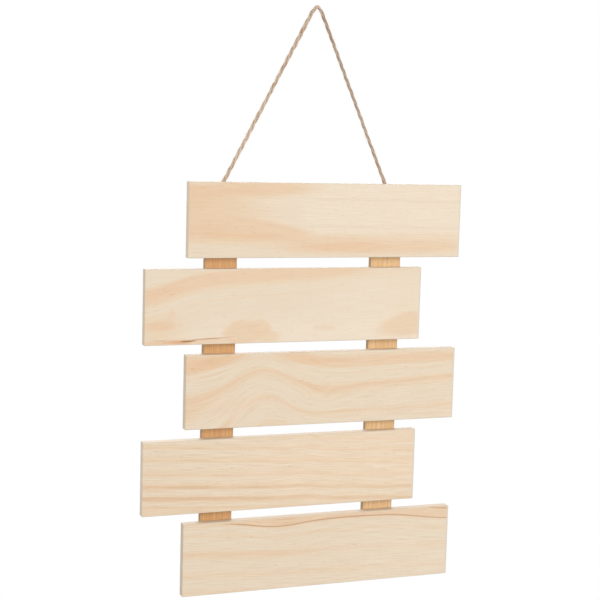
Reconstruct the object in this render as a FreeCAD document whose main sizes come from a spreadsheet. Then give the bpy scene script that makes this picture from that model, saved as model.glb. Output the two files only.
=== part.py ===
import FreeCAD, Part

import enum
import math
import os

import Sketcher
from FreeCAD import Rotation, Vector

# Hanging direction sign: staggered pine boards nailed to two battens, hung by a jute rope that is
# stapled and knotted at the back. Millimetres. The origin is where the rope bears on its hook,
# +X is the viewer's right, +Y points at the wall and +Z up. The rope's centreline lies in Y = 0.

# Driving dimensions, one cell each.
SIZES = {
    "board_length": 300,
    "board_height": 76.5,
    "board_thickness": 10,
    "board_gap": 10.8,
    "board_stagger": 43.4,  # from the boards on the left to those on the right
    "board_edge_radius": 0.8,
    "batten_width": 34,
    "batten_thickness": 6,
    "batten_spacing": 181.7,  # centre to centre
    "batten_end_inset": 2,  # from an outer board's edge to the batten's end
    "batten_edge_radius": 0.5,
    "nail_diameter": 1.2,
    "nail_head_diameter": 2.4,
    "nail_head_thickness": 0.6,
    "nail_tip_length": 1.6,
    "nail_cover": 3,  # wood left between a nail's tip and the board's front
    "nail_clearance": 0.02,
    "nail_tip_room": 0.3,
    "nail_side_offset": 8,  # from the batten's centre line
    "nail_rise": 20,  # from the board's centre line
    "rope_diameter": 3.5,
    "rope_clearance": 0.05,  # to the batten's back and to the staple's crown
    "rope_rise": 177,  # from the top board's upper edge to the hook
    "rope_tail": 9,  # below the knot
    "hook_diameter": 5,
    "hook_offset": 8.55,  # from the middle of the battens to the hook
    "left_staple_offset": 0.6,  # outwards from the batten's centre line
    "right_staple_offset": 3,
    "staple_drop": 8,  # below the top board's upper edge
    "staple_inner_width": 8,
    "staple_wire_thickness": 0.7,
    "staple_wire_width": 1.3,
    "staple_corner_radius": 0.5,
    "staple_tip_length": 1.2,
    "staple_cover": 1.5,  # wood left between a staple's tips and the batten's front
    "staple_clearance": 0.03,
    "knot_diameter": 9.6,
    "knot_gap": 0.3,  # from the staple's wire to the knot
}

# Places worked out from the driving dimensions. A lean is how far a leg of the rope is from upright.
LAYOUT = {
    "board_pitch": "Sizes.board_height + Sizes.board_gap",
    "sign_middle": "-Sizes.hook_offset",
    "batten_back": "-Sizes.rope_diameter / 2 - Sizes.rope_clearance",
    "board_back": "batten_back - Sizes.batten_thickness",
    "top_board_centre": "-Sizes.rope_rise - Sizes.board_height / 2",
    "nail_length": "Sizes.batten_thickness + Sizes.board_thickness - Sizes.nail_cover",
    "bend_radius": "(Sizes.hook_diameter + Sizes.rope_diameter) / 2",
    "hook_centre": "-Sizes.hook_diameter / 2",
    "staple_height": "-Sizes.rope_rise - Sizes.staple_drop",
    "staple_below_hook": "hook_centre - staple_height",
    "crown_inside": "Sizes.rope_diameter / 2 + Sizes.rope_clearance",
    "staple_depth": "Sizes.batten_thickness - Sizes.staple_cover",
    "staple_leg_centre": "(Sizes.staple_inner_width + Sizes.staple_wire_thickness) / 2",
    "knot_drop": "Sizes.staple_wire_width / 2 + Sizes.knot_gap",
    "knot_length": "sqrt(Sizes.knot_diameter ^ 2 - Sizes.rope_diameter ^ 2)",
    "left_batten": "sign_middle - Sizes.batten_spacing / 2",
    "right_batten": "sign_middle + Sizes.batten_spacing / 2",
    "left_staple": "left_batten - Sizes.left_staple_offset",
    "right_staple": "right_batten + Sizes.right_staple_offset",
    "left_reach": "sqrt(left_staple ^ 2 + staple_below_hook ^ 2)",
    "right_reach": "sqrt(right_staple ^ 2 + staple_below_hook ^ 2)",
    "left_lean": "atan(-left_staple / staple_below_hook) - asin(bend_radius / left_reach)",
    "right_lean": "atan(right_staple / staple_below_hook) - asin(bend_radius / right_reach)",
}

# Each board's label, from the top down, with the side that it is shifted to.
BOARD_SIDES = {
    "top_board": "right",
    "second_board": "left",
    "middle_board": "right",
    "fourth_board": "left",
    "bottom_board": "right",
}
OUTWARDS = {"left": "-", "right": "+"}
INWARDS = {"left": "+", "right": "-"}
# The axis about which a leg of the rope turns from upright towards the hook.
LEAN_AXIS = {"left": Vector(0, 1, 0), "right": Vector(0, -1, 0)}

# Sketcher's own numbers for a sketch's axes, the parts of an edge and the sketch's origin.
Axis = enum.IntEnum("Axis", "VERTICAL HORIZONTAL", start=-2)
EdgePart = enum.IntEnum("EdgePart", "START END CENTRE")
SKETCH_ORIGIN = (Axis.HORIZONTAL, EdgePart.START)

doc = FreeCAD.newDocument("hanging_direction_sign")


def make_sheet(name, cells):
    """A sheet with one named cell per row."""
    sheet = doc.addObject("Spreadsheet::Sheet", name)
    for row, (alias, content) in enumerate(cells.items(), start=1):
        sheet.set(f"A{row}", alias)
        sheet.set(f"B{row}", content)
        sheet.setAlias(f"B{row}", alias)
    doc.recompute()
    return sheet


sizes = make_sheet("Sizes", {alias: str(number) for alias, number in SIZES.items()})
make_sheet("Layout", {alias: f"={formula}" for alias, formula in LAYOUT.items()})


def evaluate(expression):
    """An expression's number, whether or not it has a unit."""
    result = sizes.evalExpression(expression)
    return float(getattr(result, "Value", result))


def bind(target, expressions):
    for path, expression in expressions.items():
        target.setExpression(path, expression)


def make_body(label, x, y, z, leg=None):
    """An empty body, placed by expressions and leaning with a leg of the rope if one is named."""
    body = doc.addObject("PartDesign::Body", label)
    body.Label = label
    if leg:
        lean = f"Layout.{leg}_lean"
        body.Placement.Rotation = Rotation(LEAN_AXIS[leg], evaluate(lean))
        body.setExpression("Placement.Rotation.Angle", lean)
    bind(body, {"Placement.Base.x": x, "Placement.Base.y": y, "Placement.Base.z": z})
    return body


def origin_feature(body, role):
    return next(item for item in body.Origin.OriginFeatures if item.Role == role)


def make_sketch(body, name, role="XZ_Plane", offset=("0", "0", "0")):
    """A sketch on an origin plane, its own origin moved by three expressions."""
    sketch = body.newObject("Sketcher::SketchObject", name)
    sketch.AttachmentSupport = (origin_feature(body, role), [""])
    sketch.MapMode = "FlatFace"
    bind(sketch, {f"AttachmentOffset.Base.{axis}": place for axis, place in zip("xyz", offset)})
    return sketch


def hold(sketch, edge, part, place):
    """Tie a point of an edge to a place given by an expression across and another up."""
    kinds = ("DistanceX", Axis.VERTICAL), ("DistanceY", Axis.HORIZONTAL)
    for (kind, axis), expression in zip(kinds, place):
        distance = evaluate(expression)
        if distance == 0:
            sketch.addConstraint(Sketcher.Constraint("PointOnObject", edge, part, axis))
            continue
        ends = (*SKETCH_ORIGIN, edge, part) if distance > 0 else (edge, part, *SKETCH_ORIGIN)
        index = sketch.addConstraint(Sketcher.Constraint(kind, *ends, abs(distance)))
        sketch.setExpression(f"Constraints[{index}]", f"abs({expression})")


def add_outline(sketch, places, closed=True):
    """Straight lines from place to place, each place a pair of expressions."""
    points = [Vector(*map(evaluate, place), 0) for place in places]
    if closed:
        points.append(points[0])
    lines = [
        sketch.addGeometry(Part.LineSegment(start, end)) for start, end in zip(points, points[1:])
    ]
    for line, following in zip(lines, lines[1:] + lines[:1] * closed):
        joint = line, EdgePart.END, following, EdgePart.START
        sketch.addConstraint(Sketcher.Constraint("Coincident", *joint))
    for line, place in zip(lines, places):
        hold(sketch, line, EdgePart.START, place)
    if not closed:
        hold(sketch, lines[-1], EdgePart.END, places[-1])
    return lines


def add_rectangle(sketch, left, right, bottom, top):
    add_outline(sketch, [(left, bottom), (right, bottom), (right, top), (left, top)])


def set_round_size(sketch, kind, edge, expression):
    """Give a circle its diameter, or an arc its radius."""
    index = sketch.addConstraint(Sketcher.Constraint(kind, edge, evaluate(expression)))
    sketch.setExpression(f"Constraints[{index}]", expression)


def add_circle(sketch, place, diameter):
    centre = Vector(*map(evaluate, place), 0)
    circle = sketch.addGeometry(Part.Circle(centre, Vector(0, 0, 1), evaluate(diameter) / 2))
    hold(sketch, circle, EdgePart.CENTRE, place)
    set_round_size(sketch, "Diameter", circle, diameter)


def add_pad(body, sketch, length, midplane=False):
    pad = body.newObject("PartDesign::Pad", f"{sketch.Name}_pad")
    pad.Profile = sketch
    pad.Midplane = midplane
    pad.setExpression("Length", length)
    return pad


def add_pocket(body, sketch, depth=None):
    """A cut from a sketch towards the front, through everything where no depth is given."""
    pocket = body.newObject("PartDesign::Pocket", f"{sketch.Name}_pocket")
    pocket.Profile = sketch
    pocket.Reversed = True
    if depth:
        pocket.setExpression("Length", depth)
    else:
        pocket.Type = "ThroughAll"
    return pocket


def ease_edges(body, base, radius):
    """Round every edge of the body as it stands."""
    fillet = body.newObject("PartDesign::Fillet", f"{base.Name}_eased")
    fillet.Base = (base, [""])
    fillet.UseAllEdges = True
    fillet.setExpression("Radius", radius)


def add_revolution(body, sketch):
    revolution = body.newObject("PartDesign::Revolution", f"{sketch.Name}_turned")
    revolution.Profile = sketch
    revolution.ReferenceAxis = (sketch, ["V_Axis"])
    return revolution


def upper_nail(side):
    """A crossing's upper nail, on the batten's inner half, from the crossing's centre."""
    return f"{INWARDS[side]}Sizes.nail_side_offset", "Sizes.nail_rise"


def lower_nail(side):
    """A crossing's lower nail, on the batten's outer half, from the crossing's centre."""
    return f"{OUTWARDS[side]}Sizes.nail_side_offset", "-Sizes.nail_rise"


def make_board(label, row):
    """A board with eased edges and blind nail holes in its back, its origin amid the back face."""
    shift = f"{OUTWARDS[BOARD_SIDES[label]]}Sizes.board_stagger / 2"
    height = f"Layout.top_board_centre - {row} * Layout.board_pitch"
    body = make_body(label, f"Layout.sign_middle {shift}", "Layout.board_back", height)
    outline = make_sketch(body, f"{label}_outline")
    half_length, half_height = "Sizes.board_length / 2", "Sizes.board_height / 2"
    add_rectangle(outline, f"-{half_length}", half_length, f"-{half_height}", half_height)
    ease_edges(body, add_pad(body, outline, "Sizes.board_thickness"), "Sizes.board_edge_radius")
    holes = make_sketch(body, f"{label}_nail_holes", offset=(f"-({shift})", "0", "0"))
    for side in OUTWARDS:
        for across, up in upper_nail(side), lower_nail(side):
            place = f"{OUTWARDS[side]}Sizes.batten_spacing / 2 {across}", up
            add_circle(holes, place, "Sizes.nail_diameter + 2 * Sizes.nail_clearance")
    add_pocket(body, holes, "Layout.nail_length - Sizes.batten_thickness + Sizes.nail_tip_room")
    return body


def make_batten(side):
    """A batten, its origin on its back face level with the top board's centre."""
    label = f"{side}_batten"
    body = make_body(label, f"Layout.{label}", "Layout.batten_back", "Layout.top_board_centre")
    outline = make_sketch(body, f"{label}_outline")
    half_width = "Sizes.batten_width / 2"
    top = "Sizes.board_height / 2 - Sizes.batten_end_inset"
    drop = f"{len(BOARD_SIDES) - 1} * Layout.board_pitch"
    add_rectangle(outline, f"-{half_width}", half_width, f"-({drop} + {top})", top)
    ease_edges(body, add_pad(body, outline, "Sizes.batten_thickness"), "Sizes.batten_edge_radius")
    cuts = []
    for name, diameter, depth in (
        ("shanks", "Sizes.nail_diameter", None),
        ("heads", "Sizes.nail_head_diameter", "Sizes.nail_head_thickness"),
    ):
        holes = make_sketch(body, f"{label}_{name}")
        for place in upper_nail(side), lower_nail(side):
            add_circle(holes, place, f"{diameter} + 2 * Sizes.nail_clearance")
        cuts.append(add_pocket(body, holes, depth))
    slots = make_sketch(
        body,
        f"{label}_staple_slots",
        offset=(
            f"Layout.{side}_staple - Layout.{label}",
            "Layout.staple_height - Layout.top_board_centre",
            "0",
        ),
    )
    lean = f"Layout.{side}_lean"
    axis = Vector(0, 0, -LEAN_AXIS[side].y)  # the sketch's own Z points along -Y
    slots.AttachmentOffset.Rotation = Rotation(axis, evaluate(lean))
    slots.setExpression("AttachmentOffset.Rotation.Angle", lean)
    thick = "(Sizes.staple_wire_thickness / 2 + Sizes.staple_clearance)"
    wide = "(Sizes.staple_wire_width / 2 + Sizes.staple_clearance)"
    for sign in OUTWARDS.values():
        leg = f"{sign}Layout.staple_leg_centre"
        add_rectangle(slots, f"{leg} - {thick}", f"{leg} + {thick}", f"-{wide}", wide)
    add_pocket(body, slots, "Layout.staple_depth + Sizes.staple_clearance")
    rows = body.newObject("PartDesign::LinearPattern", f"{label}_nail_rows")
    rows.Originals = cuts
    rows.Direction = (origin_feature(body, "Z_Axis"), [""])
    rows.Reversed = True
    rows.Occurrences = len(BOARD_SIDES)
    rows.setExpression("Length", drop)
    body.Tip = rows
    return body


def make_nails():
    """All the nails, a pair at each crossing, with their heads flush in the battens' backs."""
    body = make_body(
        "brad_nails", "Layout.sign_middle", "Layout.batten_back", "Layout.top_board_centre"
    )
    body.AllowCompound = True
    shank, head = "Sizes.nail_diameter / 2", "Sizes.nail_head_diameter / 2"
    tip = "-Layout.nail_length"
    profile = [
        ("0", "0"),
        (head, "0"),
        (head, "-Sizes.nail_head_thickness"),
        (shank, "-Sizes.nail_head_thickness"),
        (shank, f"{tip} + Sizes.nail_tip_length"),
        ("0", tip),
    ]
    nails = []
    for name, (across, up) in ("upper", upper_nail("left")), ("lower", lower_nail("left")):
        place = f"-Sizes.batten_spacing / 2 {across}"
        section = make_sketch(body, f"{name}_nail", "XY_Plane", (place, "0", up))
        add_outline(section, profile)
        nails.append(add_revolution(body, section))
    pattern = body.newObject("PartDesign::MultiTransform", "nail_pattern")
    pattern.Originals = nails
    mirrored = body.newObject("PartDesign::Mirrored", "both_battens")
    mirrored.MirrorPlane = (origin_feature(body, "YZ_Plane"), [""])
    rows = body.newObject("PartDesign::LinearPattern", "board_rows")
    rows.Direction = (origin_feature(body, "Z_Axis"), [""])
    rows.Reversed = True
    rows.Occurrences = len(BOARD_SIDES)
    rows.setExpression("Length", f"{len(BOARD_SIDES) - 1} * Layout.board_pitch")
    pattern.Transformations = [mirrored, rows]
    body.Tip = pattern
    return body


def make_staple(side):
    """A flat-wire staple over the rope, its origin on the rope's centreline and Z along the rope."""
    label = f"{side}_rope_staple"
    body = make_body(label, f"Layout.{side}_staple", "0", "Layout.staple_height", leg=side)
    section = make_sketch(body, f"{label}_section", "XY_Plane")
    inner = "Sizes.staple_inner_width / 2"
    outer = f"({inner} + Sizes.staple_wire_thickness)"
    crown_top = "Layout.crown_inside + Sizes.staple_wire_thickness"
    tip = "Layout.batten_back - Layout.staple_depth"
    shoulder = f"{tip} + Sizes.staple_tip_length"
    add_outline(
        section,
        [
            (f"-{outer}", crown_top),
            (outer, crown_top),
            (outer, tip),
            (inner, shoulder),
            (inner, "Layout.crown_inside"),
            (f"-{inner}", "Layout.crown_inside"),
            (f"-{inner}", shoulder),
            (f"-{outer}", tip),
        ],
    )
    wire = add_pad(body, section, "Sizes.staple_wire_width", midplane=True)
    doc.recompute()
    top = evaluate(crown_top)
    corners = [
        f"Edge{number}"
        for number, edge in enumerate(wire.Shape.Edges, start=1)
        if all(math.isclose(abs(end.X), evaluate(outer)) for end in edge.Vertexes)
        and all(math.isclose(end.Y, top) for end in edge.Vertexes)
        and math.isclose(edge.Length, evaluate("Sizes.staple_wire_width"))
    ]
    bends = body.newObject("PartDesign::Fillet", f"{label}_bends")
    bends.Base = (wire, corners)
    bends.setExpression("Radius", "Sizes.staple_corner_radius")
    return body


def knot_top(side):
    """Where a leg of the rope meets its knot, as expressions for x and z."""
    lean = f"Layout.{side}_lean"
    across = f"Layout.{side}_staple {OUTWARDS[side]} Layout.knot_drop * sin({lean})"
    return across, f"Layout.staple_height - Layout.knot_drop * cos({lean})"


def make_knot(side):
    """A stopper knot's outer form, a ball with the rope's tail below it, flat towards the batten."""
    label = f"{side}_rope_knot"
    across, height = knot_top(side)
    body = make_body(label, across, "0", height, leg=side)
    section = make_sketch(body, f"{label}_section")
    rope, ball, below = "Sizes.rope_diameter / 2", "Sizes.knot_diameter / 2", "-Layout.knot_length"
    tail_end = f"{below} - Sizes.rope_tail"
    places = [(rope, below), (rope, tail_end), ("0", tail_end), ("0", "0"), (rope, "0")]
    lines = add_outline(section, places, closed=False)
    crest = Vector(evaluate(ball), evaluate(f"{below} / 2"), 0)
    upper, lower = (Vector(*map(evaluate, places[i]), 0) for i in (-1, 0))
    arc = section.addGeometry(Part.Arc(lower, crest, upper))
    for part, line in (EdgePart.START, lines[0]), (EdgePart.END, lines[-1]):
        section.addConstraint(Sketcher.Constraint("Coincident", arc, part, line, part))
    set_round_size(section, "Radius", arc, ball)
    add_revolution(body, section)
    seat = make_sketch(body, f"{label}_seat", offset=("0", "0", f"{rope} - Sizes.rope_clearance"))
    add_rectangle(
        seat, "-Sizes.knot_diameter", "Sizes.knot_diameter", f"2 * ({tail_end})", "Sizes.knot_diameter"
    )
    add_pocket(body, seat)
    return body


def make_rope():
    """The taut rope from knot to knot: two straight legs and the bend round the hook.

    The bend has two corners on the level line over the hook, one for each leg.
    """
    bend_radius = evaluate("Layout.bend_radius")
    rope_radius = evaluate("Sizes.rope_diameter / 2")
    apex = Vector(0, 0, rope_radius)
    centre = apex - Vector(0, 0, bend_radius)
    ends, corners, tangents = {}, {}, {}
    for side in OUTWARDS:
        across, height = map(evaluate, knot_top(side))
        ends[side] = Vector(across, 0, height)
        half_turn = math.radians(90 - evaluate(f"Layout.{side}_lean")) / 2
        reach = bend_radius * math.tan(half_turn)
        corners[side] = apex + Vector(math.copysign(reach, across), 0, 0)
        tangents[side] = corners[side] + (ends[side] - corners[side]).normalize() * reach
        print(f"{side} end {ends[side]}, {side} corner {corners[side]}, radius {bend_radius:.2f} mm")

    def arc(start, end):
        middle = centre + ((start + end) / 2 - centre).normalize() * bend_radius
        return Part.Arc(start, middle, end)

    runs = [
        Part.LineSegment(ends["left"], tangents["left"]),
        arc(tangents["left"], apex),
        arc(apex, tangents["right"]),
        Part.LineSegment(tangents["right"], ends["right"]),
    ]
    path = Part.Wire([run.toShape() for run in runs])
    section = Part.Circle(ends["left"], tangents["left"] - ends["left"], rope_radius)
    rope = doc.addObject("Part::Feature", "hanging_rope")
    rope.Label = "hanging_rope"
    rope.Shape = path.makePipeShell([Part.Wire(section.toShape())], True, False)
    expected = math.pi * rope_radius**2 * path.Length
    print(f"rope {path.Length:.1f} mm long, {rope.Shape.Volume:.1f} mm3 of {expected:.1f} mm3")
    return rope


def check(items):
    """Stop if anything in the document failed, or a sub-part's shape isn't sound."""
    for item in doc.Objects:
        if "Invalid" in item.State or "Error" in item.State:
            raise RuntimeError(f"{item.Label} failed: {item.State}")
    for item in items:
        if item.Shape.isNull() or not item.Shape.isValid():
            raise RuntimeError(f"{item.Label} has no valid shape")


sub_parts = [make_board(label, row) for row, label in enumerate(BOARD_SIDES)]
sub_parts += [make_batten(side) for side in OUTWARDS]
sub_parts.append(make_nails())
sub_parts += [make_staple(side) for side in OUTWARDS]
sub_parts += [make_knot(side) for side in OUTWARDS]
sub_parts.append(make_rope())
doc.recompute()
check(sub_parts)
os.makedirs("parts", exist_ok=True)
for sub_part in sub_parts:
    shape = sub_part.Shape
    shape.exportStep(f"parts/{sub_part.Label}.step")
    print(f"{sub_part.Label}: {len(shape.Solids)} solids, {shape.Volume:.1f} mm3")
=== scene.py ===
"""Looks of a hanging direction sign: five pine boards on two battens, hung from a jute cord.

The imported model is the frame. Boards, battens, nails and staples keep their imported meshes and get
wood and metal finishes here. The cord and its two stopper knots are laid up from twisted yarns.
Lengths are in millimetres until they reach Blender, which works in metres.
"""

from __future__ import annotations

import logging
import math
import random
from abc import ABC, abstractmethod
from collections.abc import Callable, Sequence
from dataclasses import dataclass, field
from enum import Enum
from functools import partial

import bmesh
import bpy
from bpy.types import Curve, Material, Node, NodeSocket, NodeTree, Object
from mathutils import Matrix, Vector, noise

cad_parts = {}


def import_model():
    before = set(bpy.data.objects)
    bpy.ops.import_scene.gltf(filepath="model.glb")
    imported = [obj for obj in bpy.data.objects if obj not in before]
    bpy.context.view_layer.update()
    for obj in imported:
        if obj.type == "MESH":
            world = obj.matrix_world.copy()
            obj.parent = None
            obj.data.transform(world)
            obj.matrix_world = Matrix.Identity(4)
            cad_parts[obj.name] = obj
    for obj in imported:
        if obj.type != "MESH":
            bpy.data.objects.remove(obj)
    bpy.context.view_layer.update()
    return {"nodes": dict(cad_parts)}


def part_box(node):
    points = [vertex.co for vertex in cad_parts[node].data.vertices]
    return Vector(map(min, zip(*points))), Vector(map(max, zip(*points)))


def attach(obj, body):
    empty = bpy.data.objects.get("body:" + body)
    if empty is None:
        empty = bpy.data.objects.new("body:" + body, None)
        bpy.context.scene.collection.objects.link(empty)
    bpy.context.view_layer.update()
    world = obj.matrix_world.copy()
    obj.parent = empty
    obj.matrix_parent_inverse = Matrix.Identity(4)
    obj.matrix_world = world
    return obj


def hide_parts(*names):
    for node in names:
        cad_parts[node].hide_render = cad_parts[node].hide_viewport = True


MM = 0.001
BODY = "root"
WHITE = "#FFFFFF"

Pair = tuple[float, float]
Triple = tuple[float, float, float]
# What a node's input can be linked to: an output socket, or a node for its first output in use.
Source = Node | NodeSocket
# How much a cord's strands spread sideways and outwards at a distance along it.
Spread = Callable[[float], Pair]
# A distance along a line, the place there, and two directions square to the line.
CordFrame = tuple[float, Vector, Vector, Vector]

log = logging.getLogger("hanging_sign")


def linear(colour: str) -> tuple[float, float, float, float]:
    """Turn an sRGB hex colour into linear light.

    Args:
        colour: The colour, such as "#ECDAC1".

    Returns:
        Red, green, blue and an alpha of 1.
    """
    channels = (int(colour[start : start + 2], 16) / 255 for start in (1, 3, 5))
    red, green, blue = (
        value / 12.92 if value <= 0.04045 else ((value + 0.055) / 1.055) ** 2.4 for value in channels
    )
    return red, green, blue, 1.0


def add_node(
    tree: NodeTree,
    kind: str,
    inputs: dict[str | int, object] | None = None,
    stops: Sequence[tuple[float, str]] = (),
    **settings: object,
) -> Node:
    """Add a shader node, set its properties and fill its inputs.

    Args:
        tree: The tree that gets the node.
        kind: The node's type, without the leading ShaderNode.
        inputs: A value or a source for each input, by its index, or by its name among those in use.
        stops: A ramp's two or more places, in order, with the hex colour at each.
        **settings: Properties of the node, such as its operation.

    Returns:
        The new node.
    """
    node = tree.nodes.new(f"ShaderNode{kind}")
    for name, value in settings.items():
        setattr(node, name, value)
    named = {socket.name: socket for socket in reversed(node.inputs) if socket.enabled}
    for key, value in (inputs or {}).items():
        socket = named[key] if isinstance(key, str) else node.inputs[key]
        if isinstance(value, Node):
            value = next(output for output in value.outputs if output.enabled)
        if isinstance(value, NodeSocket):
            tree.links.new(value, socket)
        else:
            socket.default_value = value
    for count, (position, colour) in enumerate(stops):
        elements = node.color_ramp.elements
        stop = elements[count] if count < 2 else elements.new(position)
        stop.position = position
        stop.color = linear(colour)
    return node


def new_material(name: str) -> tuple[Material, NodeTree]:
    """Start a material with nothing but its output node.

    Args:
        name: The material's name.

    Returns:
        The material and its node tree.
    """
    material = bpy.data.materials.new(name)
    material.use_nodes = True
    tree = material.node_tree
    tree.nodes.clear()
    add_node(tree, "OutputMaterial")
    return material, tree


def set_surface(tree: NodeTree, shader: Node) -> None:
    """Link a shader's first output to the tree's output node."""
    output = next(node for node in tree.nodes if node.bl_idname.startswith("ShaderNodeOutput"))
    tree.links.new(shader.outputs[0], output.inputs["Surface"])


class Blend(Enum):
    """How a tint lies on the colour below it."""

    HIDE = "MIX"
    STAIN = "MULTIPLY"


class Fade(Enum):
    """How a tint's cover changes from one level to the other."""

    SOFT = "SMOOTHSTEP"
    EVEN = "LINEAR"


class Side(Enum):
    """Which side of the cord a knot bulges to."""

    LEFT = 1
    RIGHT = -1


def lay_tint(
    tree: NodeTree,
    colour: Source,
    tint: str,
    value: Source,
    levels: Pair,
    cover: Pair,
    blend: Blend = Blend.HIDE,
    fade: Fade = Fade.SOFT,
) -> Node:
    """Lay a tint over a colour, by as much as a value says.

    Args:
        tree: The material's tree.
        colour: The colour so far.
        tint: The tint as a hex colour.
        value: What the tint's cover depends on.
        levels: Two levels of that value.
        cover: The tint's cover below the first level and above the second.
        blend: How it lies on the colour.
        fade: How the cover changes between the levels.

    Returns:
        The node that gives the new colour.
    """
    (low, high), (before, after) = levels, cover
    limits = {"From Min": low, "From Max": high, "To Min": before, "To Max": after}
    share = add_node(tree, "MapRange", {"Value": value, **limits}, interpolation_type=fade.value)
    layers = {"Factor": share, "A": colour, "B": linear(tint)}
    return add_node(tree, "Mix", layers, data_type="RGBA", blend_type=blend.value)


class Finish(ABC):
    """A surface that is drawn by nodes, in the piece's Object coordinates."""

    def material(self, name: str) -> Material:
        """Build the material.

        Args:
            name: The material's name.

        Returns:
            A material with this finish.
        """
        material, tree = new_material(name)
        set_surface(tree, add_node(tree, "BsdfPrincipled", self._look(tree)))
        return material

    @abstractmethod
    def _look(self, tree: NodeTree) -> dict[str, object]:
        """Draw the finish.

        Args:
            tree: The material's tree.

        Returns:
            The inputs of its shader.
        """


class Tint(Enum):
    """The colours of clear pine, from sapwood to pitch."""

    PALE = "#EEDEC8"
    BLUSH = "#F6DFC3"
    CREAM = "#EAD9C2"
    BUFF = "#EAD4B8"
    SAND = "#EAD1B4"
    PEACH = "#E9CDAE"
    HONEY = "#E8C5A1"
    LATEWOOD = "#E2C3A1"
    BROWN = "#C4946C"
    AMBER = "#E0B088"
    PITCH = "#8F6C3C"


class BattenTint(Enum):
    """The battens' colours, more orange than the boards' pine; the left batten's are darker."""

    STRAW = "#FBDCAE"
    AMBER = "#ECBE8A"
    RUST = "#F4CD9C"
    UMBER = "#E5B57E"


class GrainAxis(Enum):
    """Which way a piece's grain runs.

    Attributes:
        turn: The turn from the piece's axes to along, through and across the grain.
        scale: One millimetre along each of these, with its direction.
        lengthways: The direction of the grain.
        sideways: The direction across the grain, in the plane of the face.
    """

    LEVEL = ((0.0, 0.0, 0.0), (MM, MM, -MM), (1.0, 0.0, 0.0), (0.0, 0.0, 1.0))
    UPRIGHT = ((0.0, math.pi / 2, 0.0), (MM, MM, MM), (0.0, 0.0, 1.0), (1.0, 0.0, 0.0))

    def __init__(self, turn: Triple, scale: Triple, lengthways: Triple, sideways: Triple) -> None:
        """Keep each value under its name."""
        self.turn, self.scale = turn, scale
        self.lengthways, self.sideways = lengthways, sideways


@dataclass(frozen=True)
class Oval:
    """A place on a face.

    Attributes:
        along: Its centre along the grain.
        across: Its centre across the grain.
        half_length: Its reach along the grain.
        half_width: Its reach across the grain.
    """

    along: float
    across: float
    half_length: float
    half_width: float

    # How far it goes through the thickness, and its turn in degrees, clockwise on the face.
    DEPTH = 16.0
    tilt = 0.0

    @property
    def mapping(self) -> dict[str, Triple]:
        """Give the settings that map a place to its distance from the centre, in units of the reach.

        Returns:
            The centre, the turn and the reach, along, through and across the grain.
        """
        return {
            "Location": (self.along, 0.0, self.across),
            "Rotation": (0.0, -math.radians(self.tilt), 0.0),
            "Scale": (self.half_length, self.DEPTH, self.half_width),
        }


@dataclass(frozen=True)
class Swell(Oval):
    """A place where the rings are lifted across the grain, as over a branch.

    Attributes:
        lift: How far it lifts the rings.
    """

    lift: float

    DEPTH = 60.0


@dataclass(frozen=True)
class Patch(Oval):
    """A blotch of one tint, where the saw met a ring almost flat.

    Attributes:
        tint: Its colour.
        strength: How much of that colour it has at its middle.
        edge: The width of its soft edge, as a share of its reach.
        tilt: Its turn in degrees, clockwise on the face.
    """

    tint: Enum
    strength: float
    edge: float
    tilt: float = 0.0


@dataclass(frozen=True)
class PineGrain:
    """The rings of one piece of pine, as its face cuts them.

    Attributes:
        rings: The distance across the grain and the tint at each turn of the colour.
        slope: How far the rings drift across the grain per millimetre along it.
        wander: How far the rings waver.
        fibre: How strongly the fibres show.
        swells: Where the rings bend.
        patches: Blotches over the rings.
        rim_shade_cover: How strongly painted shade greys its face's rim, along the ends and along the
            sides.
        ends: The tint of its sawn ends.
    """

    rings: tuple[tuple[float, Enum], ...]
    slope: float
    wander: float
    fibre: float
    swells: tuple[Swell, ...] = ()
    patches: tuple[Patch, ...] = ()
    rim_shade_cover: Pair = (0.9, 0.35)
    ends: str = "#E2D2BB"


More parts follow.
